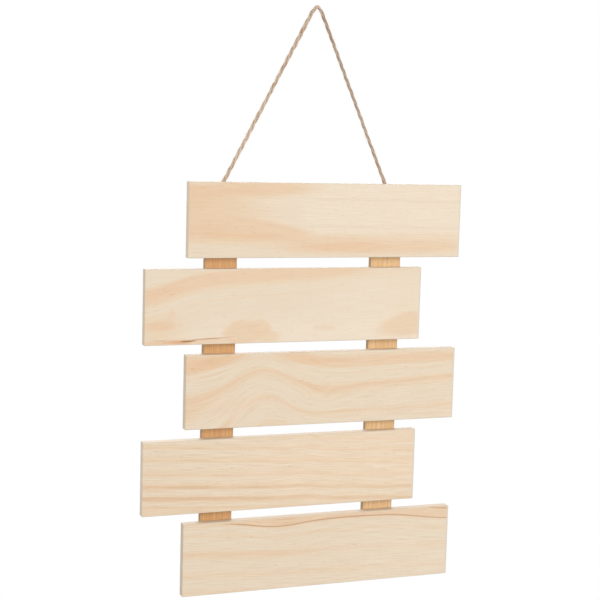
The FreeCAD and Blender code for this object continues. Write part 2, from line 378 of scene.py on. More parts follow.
@dataclass(frozen=True)
class PlanedPine(Finish):
    """Pine, sawn, planed and left bare: soft sheen, rings that run through the piece, fine fibres.

    Attributes:
        grain: The piece's own rings.
        corner: The front corner that the grain is measured from, in metres.
        size: The piece's length along the grain and its width across it.
        axis: Which way the grain runs.
        edge_shade: The tint of its long narrow faces, a painted shade.
        rim_shade: The tint of the painted shade along its rim.
        seed: Where in the noise this piece lies.
    """

    grain: PineGrain
    corner: Vector
    size: Pair
    axis: GrainAxis
    edge_shade: str
    rim_shade: str
    seed: float

    # Bare planed wood is nearly matt.
    ROUGHNESS, IOR, SPECULAR = 0.62, 1.5, 0.3
    # Rings dip through the thickness of a board, so that its two faces differ.
    DIP = 0.45
    # How long, deep and wide the wavering of the rings is.
    WANDER_SIZE = (110.0, 30.0, 16.0)
    # Bundles of fibres are about 30 mm long where the plane cuts them and 0.9 mm wide. They stand
    # a little proud and are darker where their noise is low.
    FIBRE_SIZE = (34.0, 1.1, 0.9)
    FIBRE_RISE, FIBRE_RELIEF = 0.08, 0.22
    FIBRE_SHADE, FIBRE_LEVELS = "#EADBC8", (0.36, 0.62)
    # Resin ducts are dark ticks, about 8 mm long. They are 0.2 mm wide and drawn 0.7 mm wide to show.
    DUCT_SIZE = (9.0, 0.8, 0.7)
    DUCT_SHADE, DUCT_LEVELS, DUCT_STRENGTH = "#D8BFA4", (0.26, 0.36), 0.4
    # The ragged edge of a blotch: how long, deep and wide its teeth are, and how far they reach.
    RAGGED_SIZE = (22.0, 10.0, 2.2)
    RAGGED_REACH = (14.0, 0.0, 2.4)
    # Painted shade greys about this much of the face along its eased edges, which turn from the light. The
    # far
    # end gets more of it than the near one: how far the grey lies to that side, along and across the grain.
    RIM_SHADE_WIDTH = 2.0
    RIM_SHADE_SHIFT = (1.0, 0.0)
    # Ends get the tint of their end grain, long narrow faces a painted shade. How much they are greyed, and
    # how squarely a surface faces their way, squared, where that starts and where it is full.
    END_GRAIN_AND_SHADE = 0.7
    END_LEVELS = (0.6, 0.97)
    EDGE_SHADE_LEVELS = (0.05, 0.5)

    def _look(self, tree: NodeTree) -> dict[str, object]:
        """Draw rings, blotches, fibres and ducts, then painted shade along the rim and on the narrow faces,
        and the ends' tint.

        Args:
            tree: The material's tree.

        Returns:
            The inputs of its shader.
        """
        corner = {
            "Vector": add_node(tree, "TexCoord").outputs["Object"],
            "Location": self.corner,
            "Rotation": self.axis.turn,
            "Scale": self.axis.scale,
        }
        # The place in millimetres along, through and across the grain.
        place = add_node(tree, "Mapping", corner, vector_type="TEXTURE")
        bent = self._bent(tree, place)
        colour = self._rings(tree, place, bent)
        colour = self._patches(tree, place, colour)
        fibre = self._marks(tree, bent, self.FIBRE_SIZE, detail=3.0)
        ducts = self._marks(tree, place, self.DUCT_SIZE, detail=1.0)
        for mask, shade, levels, strength in (
            (fibre, self.FIBRE_SHADE, self.FIBRE_LEVELS, self.grain.fibre),
            (ducts, self.DUCT_SHADE, self.DUCT_LEVELS, self.DUCT_STRENGTH),
        ):
            colour = lay_tint(tree, colour, shade, mask, levels, (strength, 0.0), Blend.STAIN)
        # Painted shade along the face's rim, where the eased edges turn from the light.
        colour = self._shade_eased_edges(tree, place, colour)
        # The end grain's tint on the ends, and painted shade on the long narrow faces.
        colour = self._end_grain_and_edge_shade(tree, colour)
        relief = {"Strength": self.FIBRE_RELIEF, "Distance": self.FIBRE_RISE * MM, "Height": fibre}
        return {
            "Base Color": colour,
            "Roughness": self.ROUGHNESS,
            "IOR": self.IOR,
            "Specular IOR Level": self.SPECULAR,
            "Normal": add_node(tree, "Bump", relief),
        }

    def _marks(self, tree: NodeTree, place: Source, size: Triple, detail: float) -> Node:
        """Scatter uneven marks of one size over the wood.

        Args:
            tree: The material's tree.
            place: The place in millimetres.
            size: A mark's length, depth and width.
            detail: How many finer layers they have.

        Returns:
            The node that gives their strength.
        """
        start = (self.seed * size[0], 0.0, self.seed * size[2])
        scaled = {"Vector": place, "Location": start, "Scale": size}
        mapping = add_node(tree, "Mapping", scaled, vector_type="TEXTURE")
        layers = {"Vector": mapping, "Scale": 1.0, "Detail": detail, "Roughness": 0.55}
        return add_node(tree, "TexNoise", layers)

    def _bent(self, tree: NodeTree, place: Source) -> Node:
        """Bend the wood as its rings are bent.

        Args:
            tree: The material's tree.
            place: The place in millimetres.

        Returns:
            The place, with its distance across the grain replaced by that of its ring.
        """
        drift = (self.grain.slope, self.DIP, 1.0)
        level = add_node(tree, "VectorMath", {0: place, 1: drift}, operation="DOT_PRODUCT")
        for swell in self.grain.swells:
            settings = {"Vector": place, **swell.mapping}
            reach = add_node(tree, "Mapping", settings, vector_type="TEXTURE")
            square = add_node(tree, "VectorMath", {0: reach, 1: reach}, operation="DOT_PRODUCT")
            bell = add_node(tree, "Math", {0: 1 / math.e, 1: square}, operation="POWER")
            level = add_node(tree, "Math", {0: bell, 1: swell.lift, 2: level}, operation="MULTIPLY_ADD")
        parts = add_node(tree, "SeparateXYZ", {0: place}).outputs
        return add_node(tree, "CombineXYZ", {"X": parts["X"], "Y": parts["Y"], "Z": level})

    def _rings(self, tree: NodeTree, place: Source, bent: Source) -> Node:
        """Colour the rings, which waver a little about their bends.

        Args:
            tree: The material's tree.
            place: The place in millimetres.
            bent: The place in the bent wood.

        Returns:
            The node that gives the rings' colour.
        """
        rings, wander = self.grain.rings, self.grain.wander
        level = add_node(tree, "SeparateXYZ", {0: bent}).outputs["Z"]
        waver = self._marks(tree, place, self.WANDER_SIZE, detail=2.0)
        level = add_node(tree, "Math", {0: waver, 1: 2 * wander, 2: level}, operation="MULTIPLY_ADD")
        first, last = rings[0][0], rings[-1][0]
        limits = {"From Min": first + wander, "From Max": last + wander}
        share = add_node(tree, "MapRange", {"Value": level, **limits})
        stops = [((distance - first) / (last - first), tint.value) for distance, tint in rings]
        return add_node(tree, "ValToRGB", {"Fac": share}, stops)

    def _patches(self, tree: NodeTree, place: Source, colour: Source) -> Source:
        """Lay the blotches over the rings.

        Args:
            tree: The material's tree.
            place: The place in millimetres.
            colour: The colour so far.

        Returns:
            The new colour.
        """
        if not self.grain.patches:
            return colour
        teeth = self._marks(tree, place, self.RAGGED_SIZE, detail=2.0).outputs["Color"]
        centred = add_node(tree, "VectorMath", {0: teeth, 1: (0.5, 0.5, 0.5)}, operation="SUBTRACT")
        spread = {0: centred, 1: self.RAGGED_REACH, 2: place}
        ragged = add_node(tree, "VectorMath", spread, operation="MULTIPLY_ADD")
        for patch in self.grain.patches:
            settings = {"Vector": ragged, **patch.mapping}
            reach = add_node(tree, "Mapping", settings, vector_type="TEXTURE")
            distance = add_node(tree, "VectorMath", {0: reach}, operation="LENGTH")
            levels = (1 - patch.edge, 1 + patch.edge)
            colour = lay_tint(tree, colour, patch.tint.value, distance, levels, (patch.strength, 0.0))
        return colour

    def _shade_eased_edges(self, tree: NodeTree, place: Source, colour: Source) -> Source:
        """Paint shade along the face's rim, where its eased edges turn from the light.

        Args:
            tree: The material's tree.
            place: The place in millimetres.
            colour: The colour so far.

        Returns:
            The new colour.
        """
        parts = add_node(tree, "SeparateXYZ", {0: place}).outputs
        for part, size, rim_shade_cover, shift in zip(
            (parts["X"], parts["Z"]), self.size, self.grain.rim_shade_cover, self.RIM_SHADE_SHIFT
        ):
            middle = add_node(tree, "Math", {0: part, 1: size / 2 - shift}, operation="SUBTRACT")
            reach = add_node(tree, "Math", {0: middle}, operation="ABSOLUTE")
            levels = (size / 2 - self.RIM_SHADE_WIDTH, size / 2)
            colour = lay_tint(tree, colour, self.rim_shade, reach, levels, (0.0, rim_shade_cover))
        return colour

    def _end_grain_and_edge_shade(self, tree: NodeTree, colour: Source) -> Source:
        """Grey the ends with their end grain's tint and the narrow faces with painted shade.

        Args:
            tree: The material's tree.
            colour: The colour so far.

        Returns:
            The new colour.
        """
        normal = add_node(tree, "TexCoord").outputs["Normal"]
        for direction, tint, levels in (
            (self.axis.lengthways, self.grain.ends, self.END_LEVELS),
            (self.axis.sideways, self.edge_shade, self.EDGE_SHADE_LEVELS),
        ):
            facing = add_node(tree, "VectorMath", {0: normal, 1: direction}, operation="DOT_PRODUCT")
            square = add_node(tree, "Math", {0: facing, 1: facing}, operation="MULTIPLY")
            colour = lay_tint(tree, colour, tint, square, levels, (0.0, self.END_GRAIN_AND_SHADE), fade=Fade.EVEN)
        return colour


@dataclass(frozen=True)
class GalvanisedWire(Finish):
    """Galvanised steel wire, drawn and cut: a grey metal with a dull zinc bloom and draw marks.

    Attributes:
        colour: The bright zinc.
        bloom: The dull zinc.
        roughness: The roughness of the two.
        spangle: The size of its spangle and scuffs.
        scuff_depth: How deep the scuffs are.
        relief: How much of that depth shows.
    """

    colour: str = "#C9CBCC"
    bloom: str = "#9C9FA1"
    roughness: Pair = (0.28, 0.5)
    spangle: float = 0.6
    scuff_depth: float = 0.02
    relief: float = 0.15

    def _look(self, tree: NodeTree) -> dict[str, object]:
        """Draw the spangle, which is duller and rougher in places.

        Args:
            tree: The material's tree.

        Returns:
            The inputs of its shader.
        """
        place = add_node(tree, "TexCoord").outputs["Object"]
        spangle = {"Vector": place, "Scale": 1 / (self.spangle * MM), "Detail": 2.0}
        scuffs = add_node(tree, "TexNoise", spangle)
        zinc = {"Factor": scuffs, "A": linear(self.colour), "B": linear(self.bloom)}
        smooth, dull = self.roughness
        relief = {"Strength": self.relief, "Distance": self.scuff_depth * MM, "Height": scuffs}
        return {
            "Base Color": add_node(tree, "Mix", zinc, data_type="RGBA"),
            "Metallic": 1.0,
            "Roughness": add_node(tree, "MapRange", {"Value": scuffs, "To Min": smooth, "To Max": dull}),
            "Normal": add_node(tree, "Bump", relief),
        }


@dataclass(frozen=True)
class JuteFibre(Finish):
    """Jute, spun and twisted undyed: dry tan fibres, greyer and browner from place to place.

    Attributes:
        tones: Where in its noise each tone lies, from brown over grey to tan.
        tone_size: The length over which the tone changes.
        tone_seed: Where in the noise this cord lies.
        right_half_tint: What the cord's right half is multiplied by, which makes it darker.
        right_half_reach: Where along the frame's X axis that darkening starts and is full.
        right_half_cover: How strong it is.
        fibre_size: A fibre's size. Single fibres are 0.05 mm wide, and are drawn 0.2 mm wide and 2 mm
            long to show. They run up and down, as the cord does nearly everywhere.
        fibre_rise: How far a fibre stands proud.
        fibre_relief: How much of that rise shows.
        shadow: The shade between the fibres.
        shadow_levels: The levels of the fibres' noise where that shade is full and where it ends.
        shadow_cover: How strong it is.
    """

    tones: tuple[tuple[float, str], ...] = ((0.34, "#DEBEA3"), (0.46, "#E5D2BD"), (0.62, "#F1DBC6"))
    tone_size: float = 16.0
    tone_seed: float = 10.7
    # The cord's right half is darker.
    right_half_tint: str = "#E4E1E0"
    right_half_reach: Pair = (-3.0, 7.0)
    right_half_cover: float = 0.8
    fibre_size: Triple = (0.2, 0.2, 2.0)
    fibre_rise: float = 0.08
    fibre_relief: float = 0.6
    shadow: str = "#C9BBAA"
    shadow_levels: Pair = (0.35, 0.6)
    shadow_cover: float = 0.7

    def _look(self, tree: NodeTree) -> dict[str, object]:
        """Draw the tones along the cord, its darker right half and the shade between the fibres.

        Args:
            tree: The material's tree.

        Returns:
            The inputs of its shader.
        """
        place = add_node(tree, "TexCoord").outputs["Object"]
        blotches = {"Vector": place, "W": self.tone_seed, "Scale": 1 / (self.tone_size * MM), "Detail": 3.0}
        tone = add_node(tree, "TexNoise", blotches, noise_dimensions="4D")
        colour = add_node(tree, "ValToRGB", {"Fac": tone}, self.tones)
        along = add_node(tree, "SeparateXYZ", {0: place}).outputs["X"]
        size = Vector(self.fibre_size) * MM
        stretched = add_node(tree, "Mapping", {"Vector": place, "Scale": size}, vector_type="TEXTURE")
        fibre = add_node(tree, "TexNoise", {"Vector": stretched, "Scale": 1.0, "Detail": 2.0})
        start, full = self.right_half_reach
        # Darken the cord's right half, and paint the shade between the fibres.
        for dark_tint, value, levels, cover in (
            (self.right_half_tint, along, (start * MM, full * MM), (0.0, self.right_half_cover)),
            (self.shadow, fibre, self.shadow_levels, (self.shadow_cover, 0.0)),
        ):
            colour = lay_tint(tree, colour, dark_tint, value, levels, cover, Blend.STAIN, Fade.EVEN)
        relief = {"Strength": self.fibre_relief, "Distance": self.fibre_rise * MM, "Height": fibre}
        return {
            "Base Color": colour,
            "Roughness": 0.85,
            "IOR": 1.5,
            "Specular IOR Level": 0.2,
            "Sheen Weight": 0.15,
            "Sheen Roughness": 0.5,
            "Normal": add_node(tree, "Bump", relief),
        }


def dress(node: Object, material: Material) -> None:
    """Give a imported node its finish."""
    for slot in node.material_slots:
        slot.material = material


def corner_and_size(name: str) -> tuple[Vector, Vector]:
    """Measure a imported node.

    Args:
        name: The node's name.

    Returns:
        Its upper left front corner in metres, and its size.
    """
    low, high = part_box(name)
    return Vector((low.x, low.y, high.z)), (high - low) / MM


PALE, BLUSH, CREAM, BUFF, SAND, PEACH, HONEY, LATEWOOD, BROWN, AMBER, PITCH = Tint

# Each board's grain, from the top down, in millimetres from its upper left corner.
BOARD_GRAINS = {
    # Cut almost along a ring: a pale tongue that points left, with peach blotches round it.
    "top_board": PineGrain(
        rings=(
            (-20, PALE), (12, PALE), (14, CREAM), (17, PALE), (40, PALE), (43, CREAM), (45, PALE),
            (70, CREAM), (100, PALE),
        ),
        slope=-0.012,
        wander=1.5,
        fibre=0.22,
        patches=(
            Patch(-10, 36, 100, 40, BUFF, 0.9, 0.3),
            Patch(28, 5, 104, 10, PEACH, 0.95, 0.3),
            Patch(40, 9, 60, 4, HONEY, 0.35, 0.7),
            Patch(5, 26, 48, 18, PEACH, 0.9, 0.6),
            Patch(4, 16, 26, 13, HONEY, 0.25, 0.6),
            Patch(108, 30, 14, 11, CREAM, 0.8, 0.5),
            Patch(48, 47, 82, 12, PEACH, 0.95, 0.2, 5),
            Patch(62, 54, 45, 2.2, HONEY, 0.7, 0.8, 2),
            Patch(12, 52, 50, 8, HONEY, 0.3, 0.6),
            Patch(250, 57, 75, 6, BUFF, 0.7, 0.5),
            Patch(150, 57, 50, 5, PEACH, 0.6, 0.6),
            Patch(205, 65.5, 118, 7, PEACH, 0.9, 0.5),
            Patch(165, 65, 45, 4.5, HONEY, 0.6, 0.6),
            Patch(22, 70, 78, 7.5, CREAM, 0.95, 0.3, 2),
            Patch(8, 0, 26, 3.5, CREAM, 0.6, 0.5),
        ),
        ends="#EFDEC8",
    ),
    # Cut almost along a ring: one peach band, small islands and a pitch streak.
    "second_board": PineGrain(
        rings=(
            (-20, CREAM), (3, CREAM), (8, PEACH), (18.5, PEACH), (22, BUFF), (27, CREAM), (34, CREAM),
            (35, BUFF), (36.5, CREAM), (50, CREAM), (75, PALE), (100, PALE),
        ),
        slope=0.06,
        wander=1.5,
        fibre=0.15,
        swells=(Swell(-5, 20, 45, 200, -15),),
        patches=(
            Patch(6, 28, 40, 7, PEACH, 0.9, 0.5, -16),
            Patch(12, 24, 26, 4, HONEY, 0.4, 0.6, -16),
            Patch(8, 60, 32, 15, BUFF, 0.9, 0.5),
            Patch(15, 57, 15, 4.5, HONEY, 0.7, 0.6),
            Patch(27, 47, 4, 6, PEACH, 0.6, 0.6),
            Patch(58, 73.5, 42, 3.4, PEACH, 0.7, 0.5),
            Patch(281, 35, 12, 20, BUFF, 0.5, 0.6),
            Patch(102, 66, 20, 13.5, PEACH, 0.85, 0.2),
            Patch(120, 61, 13, 9, PEACH, 0.75, 0.2),
            Patch(129, 70, 13, 6, PEACH, 0.7, 0.4),
            Patch(192, 62, 13, 2.6, PEACH, 0.5, 0.6),
            Patch(294, 59, 42, 12.5, PEACH, 0.8, 0.25, -9),
            Patch(250, 28, 60, 18, PALE, 0.5, 0.7),
            Patch(285, 2, 55, 5, CREAM, 0.7, 0.5, -3),
            Patch(20, 74, 26, 2.0, HONEY, 0.8, 0.6),
            Patch(37, 73.6, 13, 1.7, AMBER, 0.9, 0.6),
            Patch(64, 71, 23, 0.5, BROWN, 0.8, 0.6, -4),
            Patch(17, 71.4, 9, 0.4, BROWN, 0.5, 0.6, 2),
            Patch(44, 72.7, 6.5, 0.75, PITCH, 0.9, 0.6, -1),
        ),
    ),
    # Flat-sawn over the rise of a branch: the rings climb to two crests and run on to the right.
    "middle_board": PineGrain(
        rings=(
            (-20, CREAM), (-5, CREAM), (-1, BUFF), (1.5, PEACH), (5.5, PEACH), (8, SAND), (10, PEACH),
            (11, SAND), (12.8, CREAM), (16.6, CREAM), (18.3, BUFF), (19.5, CREAM), (27, CREAM),
            (30, BUFF), (31.6, PEACH), (33.4, PEACH), (35, BUFF), (42, CREAM), (53, CREAM), (55, BUFF),
            (56, PEACH), (57.2, SAND), (60.4, CREAM), (61.4, BUFF), (62.8, CREAM), (71.5, CREAM),
            (74.6, SAND), (78, CREAM), (100, CREAM),
        ),
        slope=-0.0619,
        wander=0.6,
        fibre=0.3,
        swells=(
            Swell(82, 26.2, 39.2, 76, 20.5),
            Swell(140.9, 51.4, 25.6, 10.9, -8.6),
            Swell(3.2, 98.5, 73.5, 57.6, -31.6),
            Swell(360.8, 34.5, 157.4, 41.1, 24.1),
        ),
        patches=(
            Patch(18, 11, 42, 6, HONEY, 0.8, 0.5, -11),
            Patch(126, 8, 38, 4, HONEY, 0.5, 0.5, 5),
            Patch(162, 42, 20, 4, PEACH, 0.6, 0.6),
            Patch(140, 47.5, 18, 3.5, CREAM, 0.6, 0.6),
            Patch(0, 61, 12, 9, PEACH, 0.6, 0.6),
            Patch(57, 60, 9, 17, CREAM, 0.5, 0.7),
            Patch(94, 34, 20, 36, CREAM, 0.25, 0.6),
            Patch(36, 54, 30, 9, BUFF, 0.7, 0.6, -14),
            Patch(250, 8, 60, 5, PEACH, 0.6, 0.5),
            Patch(258, 64, 48, 5, CREAM, 0.4, 0.6),
            Patch(5, 55, 22, 5, PEACH, 0.6, 0.6, -20),
            Patch(12, 45, 26, 3, PEACH, 0.6, 0.6, -14),
        ),
    ),
    # Quarter-sawn: straight narrow rings that fall a little to the right.
    "fourth_board": PineGrain(
        rings=(
            (-20, CREAM), (-14, BUFF), (-12.5, CREAM), (-6, BUFF), (-3, CREAM), (0, CREAM), (4, BUFF),
            (5.6, PEACH), (6.8, CREAM), (11, CREAM), (17, BUFF), (19, PEACH), (20.6, CREAM), (25, CREAM),
            (31.5, BUFF), (33.4, PEACH), (34.8, CREAM), (39, CREAM), (43, BUFF), (44.2, PEACH),
            (45, LATEWOOD), (47.1, LATEWOOD), (48.1, CREAM), (53, CREAM), (55.3, BUFF), (56.4, LATEWOOD),
            (58.8, LATEWOOD), (60.6, BUFF), (64.5, CREAM), (66.8, PEACH), (68, BUFF), (90, BUFF),
        ),
        slope=-0.0575,
        wander=0.6,
        fibre=0.4,
        swells=(Swell(168.7, 53.9, 19.4, 79.2, 1.9),),
        patches=(
            Patch(225, 36, 130, 45, BLUSH, 0.35, 0.6),
            Patch(258, 68, 95, 16, CREAM, 0.15, 0.6, 3),
            Patch(8, 48, 22, 3, PEACH, 0.6, 0.6, 2),
        ),
        ends="#E6D7C4",
    ),
    # One dark late ring waves along the upper edge, over broad faint bands.
    "bottom_board": PineGrain(
        rings=(
            (-30, PEACH), (-10.4, PEACH), (-9.6, BROWN), (-8.8, PEACH), (-0.5, PEACH), (0.5, BROWN),
            (1.5, BUFF), (5, CREAM), (9, CREAM), (12.8, BUFF), (16, CREAM), (27, CREAM), (30, BUFF),
            (32.4, PEACH), (35, BUFF), (40, CREAM), (49, CREAM), (55, BUFF), (59, CREAM), (68, CREAM),
            (74, BUFF), (90, CREAM),
        ),
        slope=-0.0379,
        wander=0.4,
        fibre=0.35,
        swells=(
            Swell(101.4, -40, 34.5, 73.6, -8.1),
            Swell(292, 10, 38, 20, -3.6),
            Swell(230, -20, 83.8, 60, 4.9),
        ),
        patches=(
            Patch(240, 42, 120, 9, CREAM, 0.5, 0.5, 2),
            Patch(100, 37, 28, 2.5, PEACH, 0.5, 0.6, 2),
            Patch(262, 48, 80, 34, PALE, 0.4, 0.6),
            Patch(10, 1, 44, 4, BUFF, 0.85, 0.4),
            Patch(111, 1.8, 13, 0.8, AMBER, 0.6, 0.6),
        ),
        ends="#D9C9B5",
    ),
}


@dataclass
class Boards:
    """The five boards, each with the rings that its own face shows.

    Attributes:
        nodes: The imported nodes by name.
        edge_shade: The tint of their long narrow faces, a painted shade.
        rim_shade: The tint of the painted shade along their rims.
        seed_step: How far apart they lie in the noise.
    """

    nodes: dict[str, Object]
    # Painted shade on the top and bottom faces, warmed like light bounced off the battens.
    edge_shade: str = "#D0BFA8"
    # Painted shade along the front's rim.
    rim_shade: str = "#DDD2C2"
    seed_step: float = 3.7

    def finish(self) -> None:
        """Give each board its pine."""
        for count, (name, grain) in enumerate(BOARD_GRAINS.items()):
            corner, size = corner_and_size(name)
            seed = self.seed_step * count
            pine = PlanedPine(
                grain, corner, (size.x, size.z), GrainAxis.LEVEL, self.edge_shade, self.rim_shade, seed
            )
            dress(self.nodes[name], pine.material(f"planed_pine_{name}"))
            log.info("%s: planed pine, %d rings and %d patches", name, len(grain.rings), len(grain.patches))


@dataclass
class Battens:
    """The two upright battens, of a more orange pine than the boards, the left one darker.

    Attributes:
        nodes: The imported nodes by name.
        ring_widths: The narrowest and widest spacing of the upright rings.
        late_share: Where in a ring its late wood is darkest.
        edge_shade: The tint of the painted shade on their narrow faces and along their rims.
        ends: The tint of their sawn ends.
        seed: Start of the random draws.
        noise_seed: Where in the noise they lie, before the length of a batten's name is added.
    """

    nodes: dict[str, Object]
    ring_widths: Pair = (2.4, 6.5)
    late_share: float = 0.75
    # Painted shade on the battens' sides, which the boards hide from the light, and along their rims.
    edge_shade: str = "#B79C80"
    ends: str = "#CDB498"
    seed: int = 5
    noise_seed: float = 21.3

    def finish(self) -> None:
        """Give each batten its upright rings."""
        draw = random.Random(self.seed)
        for name, base, late in (
            ("left_batten", BattenTint.AMBER, BattenTint.UMBER),
            ("right_batten", BattenTint.STRAW, BattenTint.RUST),
        ):
            corner, size = corner_and_size(name)
            rings: list[tuple[float, Enum]] = []
            start = 0.0
            while start < size.x:
                ring = draw.uniform(*self.ring_widths)
                rings += [(start, base), (start + self.late_share * ring, late)]
                start += ring
            # The battens' rims get a weaker painted shade.
            grain = PineGrain(
                tuple(rings), slope=0.004, wander=1.6, fibre=0.8, rim_shade_cover=(0.35, 0.35), ends=self.ends
            )
            seed = self.noise_seed + len(name)
            pine = PlanedPine(
                grain, corner, (size.z, size.x), GrainAxis.UPRIGHT, self.edge_shade, self.edge_shade, seed
            )
            dress(self.nodes[name], pine.material(f"planed_pine_{name}"))
            log.info("%s: planed pine, %d upright rings", name, len(rings) // 2)


@dataclass
class Fasteners:
    """The brad nails and the two staples.

    Attributes:
        nodes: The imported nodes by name.
    """

    nodes: dict[str, Object]

    def finish(self) -> None:
        """Give all of them galvanised wire."""
        wire = GalvanisedWire().material("galvanised_steel_wire")
        for name in ("brad_nails", "left_rope_staple", "right_rope_staple"):
            dress(self.nodes[name], wire)
            log.info("%s: galvanised steel wire", name)


def smooth_line(route: Sequence[Vector], step: float) -> list[Vector]:
    """Draw a route as a smooth spline and walk along it in even steps.

    Args:
        route: The spline's control points.
        step: The distance from point to point.

    Returns:
        Points on the spline.
    """
    curve = bpy.data.curves.new("route", "CURVE")
    curve.dimensions = "3D"
    spline = curve.splines.new("NURBS")
    spline.points.add(len(route) - 1)
    for point, place in zip(spline.points, route):
        point.co = (*place, 1.0)
    spline.order_u = 3
    spline.use_endpoint_u = True
    spline.resolution_u = 128
    guide = bpy.data.objects.new("route", curve)
    mesh = bpy.data.meshes.new_from_object(guide)
    drawn = [vertex.co.copy() for vertex in mesh.vertices]
    bpy.data.meshes.remove(mesh)
    bpy.data.objects.remove(guide)
    bpy.data.curves.remove(curve)
    walked, due = [drawn[0]], step
    for start, end in zip(drawn, drawn[1:]):
        run = (end - start).length
        while run >= due:
            start = start.lerp(end, due / run)
            run -= due
            walked.append(start)
            due = step
        due -= run
    if (walked[-1] - drawn[-1]).length > step / 2:
        walked.append(drawn[-1])
    return walked


def length_of(line: Sequence[Vector]) -> float:
    """Add up the distances from point to point."""
    return sum((end - start).length for start, end in zip(line, line[1:]))


@dataclass
class JuteCord:
    """Three-strand jute cord. Each strand is twisted from yarns, against the lay of the cord.

    Attributes:
        diameter: Across the laid cord, as a rule for round cord gives it.
        plump: How far the strands' tops stand out of that, as their hollows lie within it.
        squeeze: How far the soft yarns swell into the hollows between them.
        strands: Strands in the cord.
        yarns: Yarns in a strand.
        lay: Length of one turn of a strand.
        twist: Length of one turn of a yarn in its strand.
        step: Distance between the points along a yarn.
        hair_spacing: Length of cord to each stray fibre.
        hair_reach: How far a stray fibre may leave the cord's centreline.
        hair_share: A stray fibre's thickness as a share of a yarn's.
    """

    diameter: float = 3.5
    plump: float = 1.1
    squeeze: float = 1.15
    strands: int = 3
    yarns: int = 5
    lay: float = 32.0
    twist: float = 19.0
    step: float = 0.8
    hair_spacing: float = 1.3
    hair_reach: float = 3.6
    hair_share: float = 0.13

    # Uneven spinning: the share that a strand and a yarn stray by, and the length that this takes.
    STRAND_STRAY, STRAND_STRAY_LENGTH = 0.1, 9.0
    YARN_STRAY, YARN_STRAY_LENGTH = 0.25, 6.0
    # How far apart strands and yarns lie in the noise of that, and how far one strand's twist is ahead
    # of the next one's, in turns.
    STRAND_APART, YARN_APART = 5.3, (3.1, 0.7, 9.5)
    TWIST_AHEAD = 0.37
    # Stray fibres: their points, how many points of the cord they pass for each, how far they curl, the
    # shortest one's reach, where they leave the cord as a share of its diameter, and how they taper.
    HAIR_POINTS = 7
    HAIR_STRIDES = (-2, -1, 1, 2)
    HAIR_CURL = 0.9
    HAIR_SHORTEST = 0.55
    HAIR_ROOT = 0.35
    HAIR_TAPER = 0.5

    def __post_init__(self) -> None:
        """Work out the strands' and yarns' sizes, so that they touch."""
        outside = self.plump * self.diameter / 2
        self.strand_radius = outside / (1 + 1 / math.sin(math.pi / self.strands))
        self.strand_offset = outside - self.strand_radius
        self.yarn_radius = self.strand_radius / (1 + 1 / math.sin(math.pi / self.yarns))
        self.yarn_offset = self.strand_radius - self.yarn_radius

    def lay_up(
        self, name: str, line: Sequence[Vector], spread: Spread, material: Material, seed: int
    ) -> Object:
        """Lay the yarns and stray fibres along a line and make one mesh of them.

        Args:
            name: The piece's name.
            line: The cord's centreline.
            spread: How much the strands spread at a distance along the line.
            material: The finish.
            seed: Start of the random draws.

        Returns:
            The new object, linked to the scene.
        """
        draw = random.Random(seed)
        curve = bpy.data.curves.new(f"{name}_yarns", "CURVE")
        curve.dimensions = "3D"
        curve.bevel_depth = self.squeeze * self.yarn_radius * MM
        curve.bevel_resolution = 1
        curve.use_fill_caps = True
        frames = self._frames(line)
        for strand in range(self.strands):
            for yarn in range(self.yarns):
                self._add_yarn(curve, frames, strand, yarn, spread, seed)
        for _ in range(int(length_of(line) / self.hair_spacing)):
            self._add_hair(curve, frames, draw)
        laid = bpy.data.objects.new(f"{name}_yarns", curve)
        mesh = bpy.data.meshes.new_from_object(laid)
        bpy.data.objects.remove(laid)
        bpy.data.curves.remove(curve)
        mesh.name = name
        mesh.materials.clear()
        mesh.materials.append(material)
        mesh.shade_smooth()
        piece = bpy.data.objects.new(name, mesh)
        bpy.context.scene.collection.objects.link(piece)
        return piece

    @staticmethod
    def _frames(line: Sequence[Vector]) -> list[CordFrame]:
        """Carry two directions square to the line along it without twisting them.

        Args:
            line: The cord's centreline.

        Returns:
            The distance along the line, the place, and the sideways and outwards directions there.
        """
        tangent = (line[1] - line[0]).normalized()
        outwards = Vector((0.0, 1.0, 0.0))
        outwards = (outwards - outwards.dot(tangent) * tangent).normalized()
        frames, distance = [], 0.0
        for count, place in enumerate(line):
            before, after = line[max(count - 1, 0)], line[min(count + 1, len(line) - 1)]
            heading = (after - before).normalized()
            outwards = tangent.rotation_difference(heading) @ outwards
            tangent = heading
            frames.append((distance, place, tangent.cross(outwards).normalized(), outwards.normalized()))
            distance += (after - place).length
        return frames

    def _add_yarn(
        self, curve: Curve, frames: Sequence[CordFrame], strand: int, yarn: int, spread: Spread, seed: int
    ) -> None:
        """Add one yarn that winds in its strand as the strand winds in the cord.

        Args:
            curve: The curve that gets the yarn.
            frames: The cord's places and directions.
            strand: Which strand it is in.
            yarn: Which of the strand's yarns it is.
            spread: How much the strands spread at a distance along the line.
            seed: Where in the noise of uneven spinning this cord lies.
        """
        spline = curve.splines.new("POLY")
        spline.points.add(len(frames) - 1)
        by_strand, by_yarn, by_seed = self.YARN_APART
        for point, (distance, place, sideways, outwards) in zip(spline.points, frames):
            turn = math.tau * (distance / self.lay + strand / self.strands)
            roll = math.tau * (yarn / self.yarns - distance / self.twist + self.TWIST_AHEAD * strand)
            spot = Vector((distance / self.STRAND_STRAY_LENGTH, self.STRAND_APART * strand, seed))
            loose = 1 + self.STRAND_STRAY * noise.noise(spot)
            spot = Vector(
                (distance / self.YARN_STRAY_LENGTH, by_strand * strand + by_yarn * yarn, seed + by_seed)
            )
            slack = 1 + self.YARN_STRAY * noise.noise(spot)
            radial = loose * self.strand_offset + slack * self.yarn_offset * math.cos(roll)
            around = slack * self.yarn_offset * math.sin(roll)
            across = radial * math.cos(turn) - around * math.sin(turn)
            out = radial * math.sin(turn) + around * math.cos(turn)
            wider, higher = spread(distance)
            point.co = (*((place + wider * across * sideways + higher * out * outwards) * MM), 1.0)

